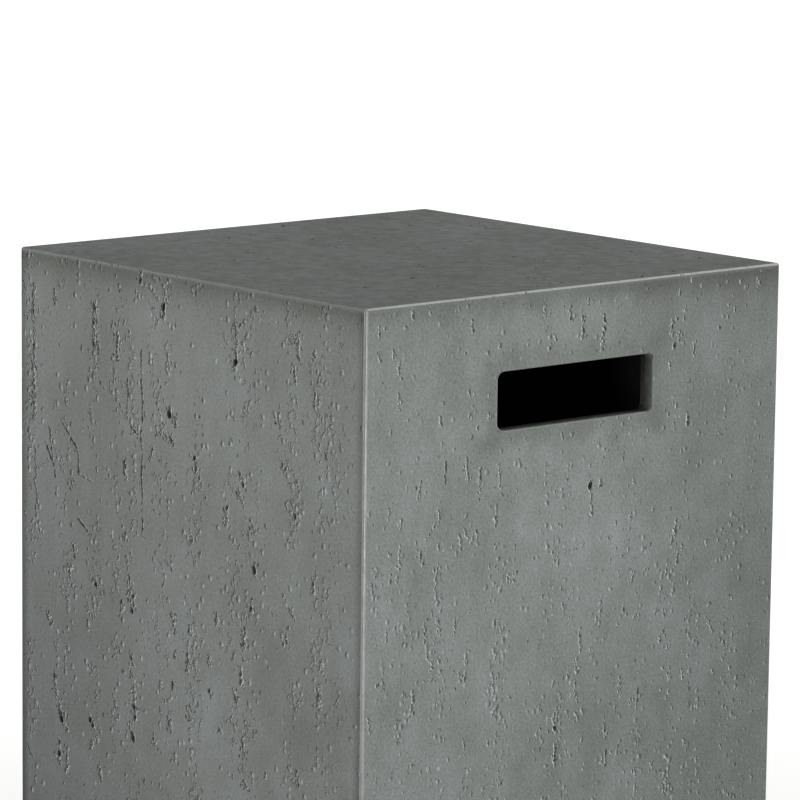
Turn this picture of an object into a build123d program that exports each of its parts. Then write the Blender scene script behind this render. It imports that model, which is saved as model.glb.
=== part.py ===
from build123d import *

import math
import os

# Fire pit side table: a cast box, open below, that stands over a gas cylinder and hides it.
# A hand slot in the left and in the right wall lets two hands lift it off, an arch in the foot of
# the rear wall lets the hose out, and a levelling foot screws into a gusset in each corner.
# The frame has +Z up and the plain front wall at -Y. Its origin is on the floor, under the middle
# of the table. Sizes are in millimetres, and the feet are screwed right in.

# Cast shell
WIDTH = 400.0
DEPTH = 400.0
HEIGHT = 520.0
WALL = 12.0
TOP = 15.0
EDGE_R = 2.0
CORE_R = 16.0
RIM_CHAMFER = 1.5

# Hand slots, measured from the table top, and a little nearer the front than the middle
SLOT_LENGTH = 149.0
SLOT_HEIGHT = 42.0
SLOT_CORNER_R = 4.0
SLOT_DROP = 55.5
SLOT_OFFSET = -3.5
LIP_R = 1.0

# Hose arch, measured from the shell's rim
ARCH_WIDTH = 44.0
ARCH_HEIGHT = 54.0

# Corner gussets, cast round the threaded inserts
FOOT_SETBACK = 22.0
GUSSET_COVER = 7.5
GUSSET_ROOF = 12.0
GUSSET_SLOPE = 14.0

# Threaded inserts: a closed hexagon nut with a flange
THREAD_D = 8.0
THREAD_CLEARANCE = 0.1
INSERT_FLATS = 14.0
INSERT_FLANGE_D = 22.0
INSERT_FLANGE_T = 2.5
INSERT_CAP = 3.0
BORE_DEPTH = 25.0
BORE_CHAMFER = 0.6

# Studs: a threaded shank, a hexagon to turn it by, and a button that snaps into the pad
STUD_END_GAP = 1.0
STUD_TIP_CHAMFER = 1.0
COLLAR_FLATS = 14.0
COLLAR_H = 4.5
COLLAR_CHAMFER = 0.6
NECK_D = 6.5
BUTTON_D = 11.0
BUTTON_H = 3.0
SOCKET_CLEARANCE = 0.2
STOP_GAP = 0.3

# Pads, with a sole let into the underside
PAD_D = 40.0
PAD_TOP_D = 22.0
PAD_RIM_H = 3.5
PAD_CHAMFER = 1.0
PAD_FLOOR = 2.0
PAD_LIP = 2.6
SOLE_D = 34.0
SOLE_T = 3.0
SOLE_PROUD = 1.0
SOLE_CHAMFER = 0.5

# Levels from the floor up
RECESS_TOP = SOLE_T
SOCKET_FLOOR = RECESS_TOP + PAD_FLOOR
SOCKET_TOP = SOCKET_FLOOR + BUTTON_H + 2 * SOCKET_CLEARANCE
PAD_TOP = SOCKET_TOP + PAD_LIP
COLLAR_Z = PAD_TOP + SOCKET_CLEARANCE
COLLAR_TOP = COLLAR_Z + COLLAR_H
RIM_Z = COLLAR_TOP + STOP_GAP
STUD_TIP = RIM_Z + BORE_DEPTH - STUD_END_GAP
INSERT_LENGTH = BORE_DEPTH + INSERT_CAP
GUSSET_TOP = RIM_Z + INSERT_LENGTH + GUSSET_ROOF
SLOT_Z = HEIGHT - SLOT_DROP - SLOT_HEIGHT / 2
ARCH_TOP = RIM_Z + ARCH_HEIGHT

# Inside of the walls, and the axes of the feet
INNER_X = WIDTH / 2 - WALL
INNER_Y = DEPTH / 2 - WALL
FOOT_X = INNER_X - FOOT_SETBACK
FOOT_Y = INNER_Y - FOOT_SETBACK
CORNERS = {
    "front_left": (-1, -1),
    "front_right": (1, -1),
    "rear_left": (-1, 1),
    "rear_right": (1, 1),
}

STAND = (Align.CENTER, Align.CENTER, Align.MIN)


def rounded_block(width, depth, bottom, top, radius):
    """A box with its upright and upper edges rounded."""
    block = Pos(0, 0, bottom) * Box(width, depth, top - bottom, align=STAND)
    upper = block.faces().sort_by(Axis.Z)[-1].edges()
    return fillet(block.edges().filter_by(Axis.Z) + upper, radius)


def prism(flats, bottom, top):
    """An upright hexagon bar, given its size across flats."""
    return Pos(0, 0, bottom) * extrude(RegularPolygon(flats / 2, 6, major_radius=False), top - bottom)


def rod(diameter, bottom, top):
    """An upright round bar."""
    return Pos(0, 0, bottom) * Cylinder(diameter / 2, top - bottom, align=STAND)


def lowest_edges(solid):
    return solid.faces().sort_by(Axis.Z)[0].edges()


def highest_edges(solid):
    return solid.faces().sort_by(Axis.Z)[-1].edges()


def gusset(side_x, side_y):
    """A corner block across two walls, with its inner top edge sloped back."""
    root_x = INNER_X + WALL / 2
    root_y = INNER_Y + WALL / 2
    cover = INSERT_FLANGE_D / 2 + GUSSET_COVER
    face_sum = FOOT_X + FOOT_Y - math.sqrt(2) * cover
    corner = (side_x * root_x, side_y * root_y)
    along_x = (side_x * (face_sum - root_y), side_y * root_y)
    along_y = (side_x * root_x, side_y * (face_sum - root_x))
    plan = make_face(Polyline(corner, along_x, along_y, close=True))
    block = Pos(0, 0, RIM_Z) * extrude(plan, GUSSET_TOP - RIM_Z, dir=(0, 0, 1))
    inner_edge = block.faces().sort_by(Axis.Z)[-1].edges().sort_by(SortBy.LENGTH)[-1]
    return chamfer(inner_edge, GUSSET_SLOPE)


def hand_slots():
    """One straight cut through both side walls."""
    outline = RectangleRounded(SLOT_LENGTH, SLOT_HEIGHT, SLOT_CORNER_R)
    return extrude(Pos(0, SLOT_OFFSET, SLOT_Z) * (Plane.YZ * outline), WIDTH, both=True)


def hose_arch():
    """A round-headed cut up from the rim, through the rear wall only."""
    crown_z = ARCH_TOP - ARCH_WIDTH / 2
    leg = Pos(0, crown_z / 2) * Rectangle(ARCH_WIDTH, crown_z)
    outline = leg + Pos(0, crown_z) * Circle(ARCH_WIDTH / 2)
    return extrude(Plane.XZ * outline, -DEPTH)


def lies_within(edge, low, high):
    """Whether an edge's box lies between two corners."""
    box = edge.bounding_box(tolerance=1e-4)
    slack = 0.01
    above = all(a > b - slack for a, b in zip(box.min, low))
    below = all(a < b + slack for a, b in zip(box.max, high))
    return above and below


def slot_lips(shell):
    """The edges of the hand slots on both faces of both walls."""
    low_y = SLOT_OFFSET - SLOT_LENGTH / 2
    high_y = SLOT_OFFSET + SLOT_LENGTH / 2
    low_z = SLOT_Z - SLOT_HEIGHT / 2
    high_z = SLOT_Z + SLOT_HEIGHT / 2
    faces = (-WIDTH / 2, -INNER_X, INNER_X, WIDTH / 2)
    return [
        edge
        for x in faces
        for edge in shell.edges()
        if lies_within(edge, (x, low_y, low_z), (x, high_y, high_z))
    ]


def arch_lips(shell):
    """The edges of the hose arch on both faces of the rear wall."""
    half_x = ARCH_WIDTH / 2
    return [
        edge
        for y in (INNER_Y, DEPTH / 2)
        for edge in shell.edges()
        if lies_within(edge, (-half_x, y, RIM_Z), (half_x, y, ARCH_TOP))
    ]


def cast_shell():
    """Four walls and the table top in one casting, open below."""
    shell = rounded_block(WIDTH, DEPTH, RIM_Z, HEIGHT, EDGE_R)
    shell = chamfer(lowest_edges(shell), RIM_CHAMFER)
    shell -= rounded_block(2 * INNER_X, 2 * INNER_Y, RIM_Z, HEIGHT - TOP, CORE_R)
    shell -= hand_slots()
    shell = fillet(slot_lips(shell), LIP_R)
    shell -= hose_arch()
    shell = fillet(arch_lips(shell), LIP_R)
    for side_x, side_y in CORNERS.values():
        shell += gusset(side_x, side_y)
        shell -= Pos(side_x * FOOT_X, side_y * FOOT_Y, 0) * insert_outside()
    return shell


def insert_outside():
    """The insert's outer form, which the casting closes round."""
    return prism(INSERT_FLATS, RIM_Z, RIM_Z + INSERT_LENGTH) + rod(
        INSERT_FLANGE_D, RIM_Z, RIM_Z + INSERT_FLANGE_T
    )


def insert():
    """A blind threaded nut, flush with the rim."""
    bore = rod(THREAD_D + 2 * THREAD_CLEARANCE, RIM_Z, RIM_Z + BORE_DEPTH)
    body = insert_outside() - bore
    mouth = lowest_edges(body).sort_by(SortBy.LENGTH)[0]
    return chamfer(mouth, BORE_CHAMFER)


def stud():
    """The screw of a levelling foot: shank, hexagon collar, neck and button."""
    shank = rod(THREAD_D, COLLAR_TOP, STUD_TIP)
    shank = chamfer(highest_edges(shank), STUD_TIP_CHAMFER)
    collar = prism(COLLAR_FLATS, COLLAR_Z, COLLAR_TOP)
    corner_ring = rod(COLLAR_FLATS / math.cos(math.pi / 6), COLLAR_Z, COLLAR_TOP)
    collar &= chamfer(highest_edges(corner_ring), COLLAR_CHAMFER)
    button_z = SOCKET_FLOOR + SOCKET_CLEARANCE
    neck = rod(NECK_D, button_z, COLLAR_Z)
    button = rod(BUTTON_D, button_z, button_z + BUTTON_H)
    return shank + collar + neck + button


def pad():
    """A round foot with a cone on top, a snap socket in it and a recess for the sole."""
    outline = Polyline(
        (0, SOLE_PROUD),
        (PAD_D / 2, SOLE_PROUD),
        (PAD_D / 2, SOLE_PROUD + PAD_RIM_H),
        (PAD_TOP_D / 2, PAD_TOP),
        (0, PAD_TOP),
        close=True,
    )
    body = revolve(Plane.XZ * make_face(outline), Axis.Z)
    rims = body.edges().filter_by(GeomType.CIRCLE)
    body = chamfer(rims, PAD_CHAMFER)
    body -= rod(SOLE_D, 0, RECESS_TOP)
    body -= rod(BUTTON_D + 2 * SOCKET_CLEARANCE, SOCKET_FLOOR, SOCKET_TOP)
    body -= rod(NECK_D + 2 * SOCKET_CLEARANCE, SOCKET_FLOOR, PAD_TOP)
    return body


def sole():
    """The disc that meets the floor, glued into the pad."""
    disc = rod(SOLE_D, 0, RECESS_TOP)
    return chamfer(lowest_edges(disc), SOLE_CHAMFER)


os.makedirs("parts", exist_ok=True)
export_step(cast_shell(), "parts/cast_shell.step")
pieces = {"insert": insert(), "stud": stud(), "pad": pad(), "sole": sole()}
for corner_name, (side_x, side_y) in CORNERS.items():
    place = Pos(side_x * FOOT_X, side_y * FOOT_Y, 0)
    for piece_name, piece in pieces.items():
        export_step(place * piece, f"parts/{corner_name}_{piece_name}.step")
print(f"shell rim at {RIM_Z:.2f} mm, feet at x {FOOT_X:.1f} and y {FOOT_Y:.1f} mm")
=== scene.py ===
# %% [markdown]
# # A cast concrete side table
#
# The table is one hollow casting that stands over a gas cylinder. Its skin is full of small air
# voids, as travertine is, and four levelling feet screw into its corners. The CAD model gives the
# sizes and the moving parts. This lesson models the casting again by hand, because its voids are
# what the eye sees first, and gives every other piece its finish.

# %% Load the frame
import math
import random

import bmesh
import bpy
import numpy as np
from mathutils import Euler, Matrix, Vector


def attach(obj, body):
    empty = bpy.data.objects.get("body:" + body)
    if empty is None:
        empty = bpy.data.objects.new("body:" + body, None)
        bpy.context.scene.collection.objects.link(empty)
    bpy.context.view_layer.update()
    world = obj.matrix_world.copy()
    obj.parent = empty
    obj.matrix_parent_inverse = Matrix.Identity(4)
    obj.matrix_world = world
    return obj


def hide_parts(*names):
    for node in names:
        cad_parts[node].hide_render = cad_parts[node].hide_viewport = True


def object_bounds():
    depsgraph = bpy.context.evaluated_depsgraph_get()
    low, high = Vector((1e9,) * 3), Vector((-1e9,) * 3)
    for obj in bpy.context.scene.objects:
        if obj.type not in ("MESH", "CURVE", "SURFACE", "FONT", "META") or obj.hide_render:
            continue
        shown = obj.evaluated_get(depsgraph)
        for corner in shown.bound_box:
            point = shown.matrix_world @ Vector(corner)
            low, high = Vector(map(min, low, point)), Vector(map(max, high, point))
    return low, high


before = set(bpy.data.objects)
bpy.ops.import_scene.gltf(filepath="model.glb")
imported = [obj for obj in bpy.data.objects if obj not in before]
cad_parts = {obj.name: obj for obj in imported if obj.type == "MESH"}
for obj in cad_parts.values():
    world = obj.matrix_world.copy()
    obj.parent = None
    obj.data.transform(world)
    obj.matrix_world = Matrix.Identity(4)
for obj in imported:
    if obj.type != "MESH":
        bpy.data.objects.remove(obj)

MM = 0.001
cad_low, cad_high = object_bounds()
bpy.context.scene.view_settings.view_transform = "Standard"
print("CAD box, mm:", [round(v / MM, 1) for v in (*cad_low, *cad_high)])

# %% [markdown]
# ## Camera
#
# The photo was taken with a long lens a little above the table top. The camera's place, turn and
# lens were worked out from the straight edges of the top, so the frame needs no shift. A camera
# could also be placed by eye, but then each wall's pattern would land in the wrong place.

# %% Camera
TILT_DOWN, TURN, ROLL = 9.4126, 49.2775, 0.6538
bpy.ops.object.select_all(action="DESELECT")
bpy.ops.object.camera_add(location=(2.5867, -2.2231, 0.9761))
camera = bpy.context.object
aim = Euler((math.radians(90 - TILT_DOWN), 0, math.radians(TURN))).to_matrix()
camera.rotation_euler = (aim @ Matrix.Rotation(math.radians(ROLL), 3, "Z")).to_euler()
camera.data.lens = 208.56
camera.data.sensor_width = 36
bpy.context.scene.camera = camera
print("camera at", [round(v, 3) for v in camera.location], "lens", camera.data.lens, "mm")

# %% [markdown]
# ## Helpers for materials
#
# Colours are written as sRGB hex, as a colour picker shows them, and turned to the linear values
# that light adds up in. One function adds a node with its inputs and settings. The inputs are given
# by name or in order, and each is a plain value, another node, which stands for its first output, or
# one of a node's outputs. The stops of a colour ramp count as a setting.

# %% Helpers for materials
def linear(code):
    """An sRGB hex colour as linear red, green, blue and alpha."""
    parts = [int(code[i:i + 2], 16) / 255 for i in (1, 3, 5)]
    return (*(v / 12.92 if v <= 0.04045 else ((v + 0.055) / 1.055) ** 2.4 for v in parts), 1.0)


def plug(node, inputs):
    """Set or link the inputs of a node, given by name or number, or in order."""
    for name, value in inputs.items() if isinstance(inputs, dict) else enumerate(inputs):
        if isinstance(value, bpy.types.Node):
            value = value.outputs[0]
        if isinstance(value, bpy.types.NodeSocket):
            node.id_data.links.new(value, node.inputs[name])
        else:
            node.inputs[name].default_value = value


def add(tree, kind, inputs=(), stops=(), **settings):
    """Add a shader node with its inputs, its settings and, on a colour ramp, its stops."""
    node = tree.nodes.new("ShaderNode" + kind)
    for name, value in settings.items():
        setattr(node, name, value)
    for number, (place, code) in enumerate(stops):
        ends = {0: 0, len(stops) - 1: -1}
        ramp = node.color_ramp.elements
        stop = ramp[ends[number]] if number in ends else ramp.new(place)
        stop.position, stop.color = place, linear(code)
    plug(node, inputs)
    return node


def start_material(name):
    """A new material, its nodes, its shader, and the place on the table that a pattern reads."""
    material = bpy.data.materials.new(name)
    material.use_nodes = True
    tree = material.node_tree
    tree.nodes.clear()
    shader = add(tree, "BsdfPrincipled")
    add(tree, "OutputMaterial", {"Surface": shader})
    return material, tree, shader, add(tree, "TexCoord").outputs["Object"]


def per_metre(millimetres):
    """The texture scale that makes a pattern repeat at about this size."""
    return 1000 / millimetres


print("mid grey of the casting, linear:", [round(v, 3) for v in linear("#868a87")])

# %% [markdown]
# ## Sealed cast concrete: the tone
#
# Cement and fibre are sprayed into a mould, and the cured skin is rubbed with a grey sealer. The eye
# sees wide clouds where the sealer lies thicker, smaller mottling, faint upright streaks where wet
# cement ran down the mould, and a sandy grain. The top was trowelled, and is blotchy as well. Noises
# at those sizes are added up to one tone, and a colour ramp turns the tone into greys. A painted
# image could hold more, but noise has no seams.

# %% Sealed cast concrete: tone
skin, tree, shader, spot = start_material("sealed_cast_concrete")
xyz = add(tree, "SeparateXYZ", (spot,)).outputs
below = add(tree, "Math", (cad_high.z, xyz["Z"]), operation="SUBTRACT")
trowelled = add(tree, "MapRange", {
    "Value": below, "From Min": 0.0005, "From Max": 0.002, "To Min": 1.0, "To Max": 0.0})
upright = add(tree, "Mapping", {"Vector": spot, "Scale": (1, 1, 0.2)})
patterns = {}
tone = 0.5
# Each pattern: its name and place, its size in mm, its detail and roughness, and its share.
for name, place, size, detail, roughness, share in (
        ("clouds", spot, 130, 3.0, 0.55, 0.70),
        ("mottle", spot, 24, 5.0, 0.6, 0.55),
        ("blotches", spot, 11, 3.0, 0.65, trowelled),
        ("streaks", upright, 16, 2.0, 0.5, 0.12),
        ("grain", spot, 2.0, 2.0, 0.7, 0.8)):
    patterns[name] = add(tree, "TexNoise", {
        "Vector": place, "Scale": per_metre(size), "Detail": detail, "Roughness": roughness})
    centred = add(tree, "Math", (patterns[name], 0.5), operation="SUBTRACT")
    tone = add(tree, "Math", (centred, share, tone), operation="MULTIPLY_ADD")
greys = add(tree, "ValToRGB", {"Fac": tone}, stops=(
    (0.25, "#737773"), (0.5, "#868a87"), (0.75, "#979c9e")))
print("tone of", skin.name, "from", len(tree.nodes), "nodes")

# %% [markdown]
# ## Sealed cast concrete: where the sealer gathers
#
# Below the top edge and round the slots, the rubbed sealer gathers and darkens the skin in a ragged
# band. It follows the distance to the edge, worked out from the place on the table, because
# Pointiness would need far more vertices than these flat walls have. The walls also darken slowly
# towards the foot and towards two opposite corners, away from the near edge, and along the upright
# edges of the front and rear walls: this is painted shade, where less light falls.

# %% Sealed cast concrete: bands along the edges
SLOT_Y, SLOT_Z, SLOT_LONG, SLOT_HIGH = -3.5, 443.5, 149, 42
LIP = 1.0
TOP_NARROWER = 4.0
RAGGED = 0.030


def inset_in_walls(tree, xyz):
    """How deep a place lies inside the side walls' outer faces, and inside the front and rear ones'."""
    depths = []
    for axis, half in (("X", cad_high.x), ("Y", cad_high.y)):
        size = add(tree, "Math", (xyz[axis],), operation="ABSOLUTE")
        depths.append(add(tree, "Math", (half, size), operation="SUBTRACT"))
    return depths


inset = inset_in_walls(tree, xyz)
inward = add(tree, "Math", (inset[0], inset[1]), operation="MINIMUM")
# The band is narrower on the top than on the walls.
inward = add(tree, "Math", (inward, TOP_NARROWER), operation="MULTIPLY")
top_edge = add(tree, "Math", (below, inward), operation="MAXIMUM")
beside = []
for axis, middle, length in (("Y", SLOT_Y, SLOT_LONG), ("Z", SLOT_Z, SLOT_HIGH)):
    away = add(tree, "Math", (xyz[axis], middle * MM), operation="SUBTRACT")
    size = add(tree, "Math", (away,), operation="ABSOLUTE")
    beside.append(add(tree, "Math", (size, (length / 2 + LIP) * MM), operation="SUBTRACT"))
slot_edge = add(tree, "Math", (beside[0], beside[1]), operation="MAXIMUM")
any_edge = add(tree, "Math", (top_edge, slot_edge), operation="MINIMUM")
ragged = add(tree, "Math", (patterns["mottle"], RAGGED, -RAGGED / 2), operation="MULTIPLY_ADD")
band = add(tree, "Math", (any_edge, ragged), operation="ADD")
gathered = add(tree, "MapRange", {
    "Value": band, "From Min": 0.002, "From Max": 0.020, "To Min": 0.55, "To Max": 0.0},
    interpolation_type="SMOOTHSTEP")
banded = add(tree, "Mix", {0: gathered, 6: greys, 7: linear("#d6d7d1")},
             data_type="RGBA", blend_type="MULTIPLY").outputs[2]
print("bands on", skin.name, "now", len(tree.nodes), "nodes")

# %% Sealed cast concrete: slow painted shade
# Painted shade: darker towards the foot, towards the front-left and rear-right corners, and along the
# upright edges of the front and rear walls.
diagonal = add(tree, "Math", (xyz["X"], xyz["Y"]), operation="ADD")
side_wall = add(tree, "Math", (inset[0], inset[1]), operation="LESS_THAN")
slopes = {}
# Each slope: its name, what it follows, from where to where in metres, and its value at both ends.
for name, follows, start, end, at_start, at_end, curve in (
        ("foot_shade", xyz["Z"], 0.04, 0.40, 0.18, 0.0, "LINEAR"),
        ("lower", xyz["Z"], 0.05, 0.50, 1.5, 0.6, "LINEAR"),
        ("calm", xyz["Z"], 0.26, 0.46, 1.0, 0.45, "LINEAR"),
        ("reach", diagonal, 0.25, 0.36, 0.045, 0.08, "LINEAR"),
        ("spread", diagonal, 0.19, 0.25, 0.3, 1.0, "LINEAR"),
        ("painted_shade", diagonal, 0.20, 0.36, 0.0, 0.15, "SMOOTHSTEP"),
        ("front_left_shade", diagonal, -0.38, -0.18, 0.20, 0.0, "SMOOTHSTEP"),
        ("upright_edge_shade", inset[0], 0.001, 0.012, 0.40, 0.0, "SMOOTHSTEP"),
        ("on_wall", below, 0.001, 0.004, 0.0, 1.0, "LINEAR")):
    slopes[name] = add(tree, "MapRange", {
        "Value": follows, "From Min": start, "From Max": end, "To Min": at_start, "To Max": at_end},
        interpolation_type=curve)
on_wall = slopes["on_wall"]
painted_shade = add(tree, "Math", (slopes["front_left_shade"], slopes["lower"], slopes["painted_shade"]), operation="MULTIPLY_ADD")
upright_edge_shade = add(tree, "Mix", {0: side_wall, 2: slopes["upright_edge_shade"], 3: 0.0}, data_type="FLOAT")
painted_shade = add(tree, "Math", (painted_shade, upright_edge_shade), operation="ADD")
darker = add(tree, "Math", (painted_shade, on_wall, slopes["foot_shade"]), operation="MULTIPLY_ADD")
shade = add(tree, "Math", (1.0, darker), operation="SUBTRACT")
toned = add(tree, "Mix", {0: 1.0, 6: banded, 7: shade}, data_type="RGBA", blend_type="MULTIPLY").outputs[2]
print("darkening of", skin.name, "now", len(tree.nodes), "nodes")

# %% [markdown]
# ## Sealed cast concrete: under the top edge
#
# Below the top edge the walls get a painted shade in an olive tint, strongest at the edge, that fades
# down the wall. It reaches further down near one corner, and on the side walls it is faint
# away from that corner. Its strength falls off as a power of the distance, which is soft at the lower
# end. A ramp of colours would do as well, but the reach changes along the wall.

# %% Sealed cast concrete: under the top edge
# Painted shade below the top edge, in an olive tint.
top_edge_shade = add(tree, "MapRange", {"Value": below, "From Max": slopes["reach"], "To Min": 1.0, "To Max": 0.0})
top_edge_shade = add(tree, "Math", (top_edge_shade, 2.5), operation="POWER")
spread = add(tree, "Mix", {0: side_wall, 2: 1.0, 3: slopes["spread"]}, data_type="FLOAT")
for part in (spread, on_wall):
    top_edge_shade = add(tree, "Math", (top_edge_shade, part), operation="MULTIPLY")
toned = add(tree, "Mix", {0: top_edge_shade, 6: toned, 7: linear("#c4c2bd")},
            data_type="RGBA", blend_type="MULTIPLY").outputs[2]
print("top edge of", skin.name, "now", len(tree.nodes), "nodes")

# %% [markdown]
# ## Sealed cast concrete: crumbly columns
#
# Besides the voids that are carved into the mesh further on, the skin is crumbly in upright columns,
# where air rose in the mould. Where the columns stand on the two walls in the photo was measured, and
# the walls opposite share them. A colour ramp along the wall gives how crumbly each place is: white on
# a column and black between two. A noise lets the columns wander, and another breaks them up. The
# upper part of the side walls is calmer.

# %% Sealed cast concrete: crumbly columns
HALF = 200
WANDER = 0.030
front_columns = (-185, -142, -108, -80, -62, -30, -20, 8, 60, 68, 126, 150)
right_columns = (-188, -165, -130, -104, -77, -25, -12, 25, 45, 62, 95, 112, 152)
wander = add(tree, "TexNoise", {"Vector": spot, "Scale": per_metre(70), "Detail": 2.0})
profiles = []
for axis, places in (("X", front_columns), ("Y", right_columns)):
    along = add(tree, "Math", (wander, WANDER, xyz[axis]), operation="MULTIPLY_ADD")
    share = add(tree, "MapRange", {
        "Value": along, "From Min": cad_low.x + WANDER / 2, "From Max": cad_high.x + WANDER / 2})
    between = [(a + b) / 2 for a, b in zip(places, places[1:])]
    dark = [(place, "#000000") for place in (-HALF, *between, HALF)]
    stops = sorted([*dark, *((place, "#ffffff") for place in places)])
    profiles.append(add(tree, "ValToRGB", {"Fac": share}, stops=[
        ((place + HALF) / (2 * HALF), code) for place, code in stops]))
column = add(tree, "Mix", {0: side_wall, 2: profiles[0], 3: profiles[1]}, data_type="FLOAT")
gaps = add(tree, "TexNoise", {"Vector": spot, "Scale": per_metre(38), "Detail": 3.0})
broken = add(tree, "MapRange", {
    "Value": gaps, "From Min": 0.38, "From Max": 0.58, "To Min": 0.1, "To Max": 1.0})
calm = add(tree, "Mix", {0: side_wall, 2: 1.0, 3: slopes["calm"]}, data_type="FLOAT")
crowd = column
for part in (broken, on_wall, calm):
    crowd = add(tree, "Math", (crowd, part), operation="MULTIPLY")
print("columns on", skin.name, "now", len(tree.nodes), "nodes")

# %% [markdown]
# ## Sealed cast concrete: pits
#
# The pits of a millimetre or two are too many to carve. On the front and rear walls most are crumbs:
# they are drawn where a noise of that size rises above a limit, which is lower on the columns. On the
# side walls most are drops, each round the middle of a Voronoi cell, in the cells that a random number
# picks. Crumbs and drops dent the bump together with the grain, and are paler, partly as bare concrete
# and partly as a painted highlight.

# %% Sealed cast concrete: crumbs and drops
BEND = 3 * MM
taller = add(tree, "Mapping", {"Vector": spot, "Scale": (1, 1, 0.8)})
crumble = add(tree, "TexNoise", {
    "Vector": taller, "Scale": per_metre(4.2), "Detail": 3.0, "Roughness": 0.6})
rubble = add(tree, "Mix", {0: side_wall, 2: 0.85, 3: 0.5}, data_type="FLOAT")
rubble = add(tree, "Math", (crowd, rubble), operation="MULTIPLY")
limit = add(tree, "MapRange", {
    "Value": rubble, "From Min": 0.1, "From Max": 0.7, "To Min": 0.68, "To Max": 0.525})
over = add(tree, "Math", (crumble, limit), operation="SUBTRACT")
speck = add(tree, "MapRange", {"Value": over, "From Min": 0.0, "From Max": 0.16})
bent = add(tree, "VectorMath", (crumble.outputs[1], (BEND, BEND, BEND), taller),
           operation="MULTIPLY_ADD")
cells = add(tree, "TexVoronoi", {"Vector": bent, "Scale": per_metre(4.5)}).outputs
luck = add(tree, "SeparateColor", (cells["Color"],)).outputs
share = add(tree, "Mix", {0: side_wall, 2: 0.65, 3: 1.3}, data_type="FLOAT")
share = add(tree, "Math", (crowd, share, 0.03), operation="MULTIPLY_ADD")
picked = add(tree, "Math", (luck[0], share), operation="LESS_THAN")
radius = add(tree, "MapRange", {"Value": luck[1], "To Min": 0.28, "To Max": 0.58})
drop = add(tree, "MapRange", {"Value": cells["Distance"], "From Min": radius, "From Max": 0.0},
           interpolation_type="SMOOTHSTEP")
for part in (picked, on_wall):
    drop = add(tree, "Math", (drop, part), operation="MULTIPLY")
print("crumbs and drops on", skin.name, "now", len(tree.nodes), "nodes")

# %% Sealed cast concrete: pale spots with a painted highlight, bump and gloss
pale = add(tree, "Math", (speck, drop), operation="MAXIMUM")
# Paler spots on the crumbs and drops: partly bare concrete, partly a painted highlight.
pale_and_highlit = add(tree, "Math", (pale, 0.35), operation="MULTIPLY")
specked = add(tree, "Mix", {0: pale_and_highlit, 6: toned, 7: linear("#abb0ad")}, data_type="RGBA").outputs[2]
height = add(tree, "Math", (patterns["grain"], 0.22), operation="MULTIPLY")
for part, share in ((patterns["streaks"], 0.3), (speck, -1.7), (drop, -1.1)):
    height = add(tree, "Math", (part, share, height), operation="MULTIPLY_ADD")
relief = add(tree, "Bump", {"Strength": 1.0, "Distance": MM, "Height": height})
rough = add(tree, "MapRange", {
    "Value": patterns["mottle"], "From Min": 0.3, "From Max": 0.7, "To Min": 0.62, "To Max": 0.78})
plug(shader, {"Base Color": specked, "Roughness": rough, "Normal": relief, "Specular IOR Level": 0.08})
print("finished", skin.name, "with", len(tree.nodes), "nodes")

# %% [markdown]
# ## Concrete in the voids and in the slots
#
# The inside of a void never touched the mould. It is bubbly and paler at the rim than the sealed skin,
# partly as bare concrete and partly as a painted highlight, and darker the deeper it goes, which is
# painted shade. In the slots the grey of the walls darkens into black within the thickness of the
# wall, painted shade as well. So in both the colour follows the depth below the nearest outer face,
# made uneven by a noise, and a deep void stays dark in any light. The slots are so far below the top
# that only the walls count there.

# %% Concrete in the voids and in the slots
def sunken(name, under_top, size, detail, uneven, depths, stops, dent, rough):
    """A finish that darkens with depth, as painted shade. Its sizes are in mm, and uneven is how far its
    noise shifts it.
    """
    material, tree, shader, spot = start_material(name)
    noise = add(tree, "TexNoise", {"Vector": spot, "Scale": per_metre(size), "Detail": detail})
    xyz = add(tree, "SeparateXYZ", (spot,)).outputs
    faces = inset_in_walls(tree, xyz)
    if under_top:
        faces.insert(0, add(tree, "Math", (cad_high.z, xyz["Z"]), operation="SUBTRACT"))
    depth = faces[0]
    for inward in faces[1:]:
        depth = add(tree, "Math", (depth, inward), operation="MINIMUM")
    depth = add(tree, "Math", (noise, uneven * MM, depth), operation="MULTIPLY_ADD")
    sunk = add(tree, "MapRange", {
        "Value": depth, "From Min": depths[0] * MM, "From Max": depths[1] * MM})
    greys = add(tree, "ValToRGB", {"Fac": sunk}, stops=stops)
    relief = add(tree, "Bump", {"Strength": 0.5, "Distance": dent * MM, "Height": noise})
    plug(shader, {"Base Color": greys, "Normal": relief, "Roughness": rough, "Specular IOR Level": 0.2})
    return material


# Painted shade: voids darken with depth; their paler rim is partly a painted highlight.
pit = sunken("concrete_void", True, 1.5, 2.0, 0.8, (0.4, 2.4), (
    (0.22, "#929794"), (0.5, "#747875"), (0.8, "#4a4d4a")), 0.3, 0.6)
# Painted shade: the slot walls darken into black within the wall's thickness.
throat = sunken("sealed_slot_concrete", False, 6, 4.0, 6, (3, 14), (
    (0.0, "#7a7e79"), (0.35, "#5c5f5a"), (0.75, "#20211e"), (1.0, "#0a0a09")), 0.5, 0.65)
print("made", pit.name, "and", throat.name)

# %% [markdown]
# ## The dark inside and the polished edges
#
# The inside of the casting is the sprayed back, rough with fibres and nearly black, which is painted
# shade for the hollow. Outside, the mould comes apart at two opposite corners, and the seam that it
# leaves there is ground off and polished. So are the top edges above the slots, where arms rub when
# the table is lifted. There the concrete is paler, partly as wear and partly as a painted highlight,
# and the sealer glossy, so the edge shows a thin bright line. That needs a gloss of its own, so these
# rounded edges get their own material, with the sealer as a clear coat. The other two top edges are
# only rubbed a little paler, partly as wear and partly as a painted highlight. In all of them colour,
# gloss and bump follow a noise, so one function makes them, and later the finishes of the feet.

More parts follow.
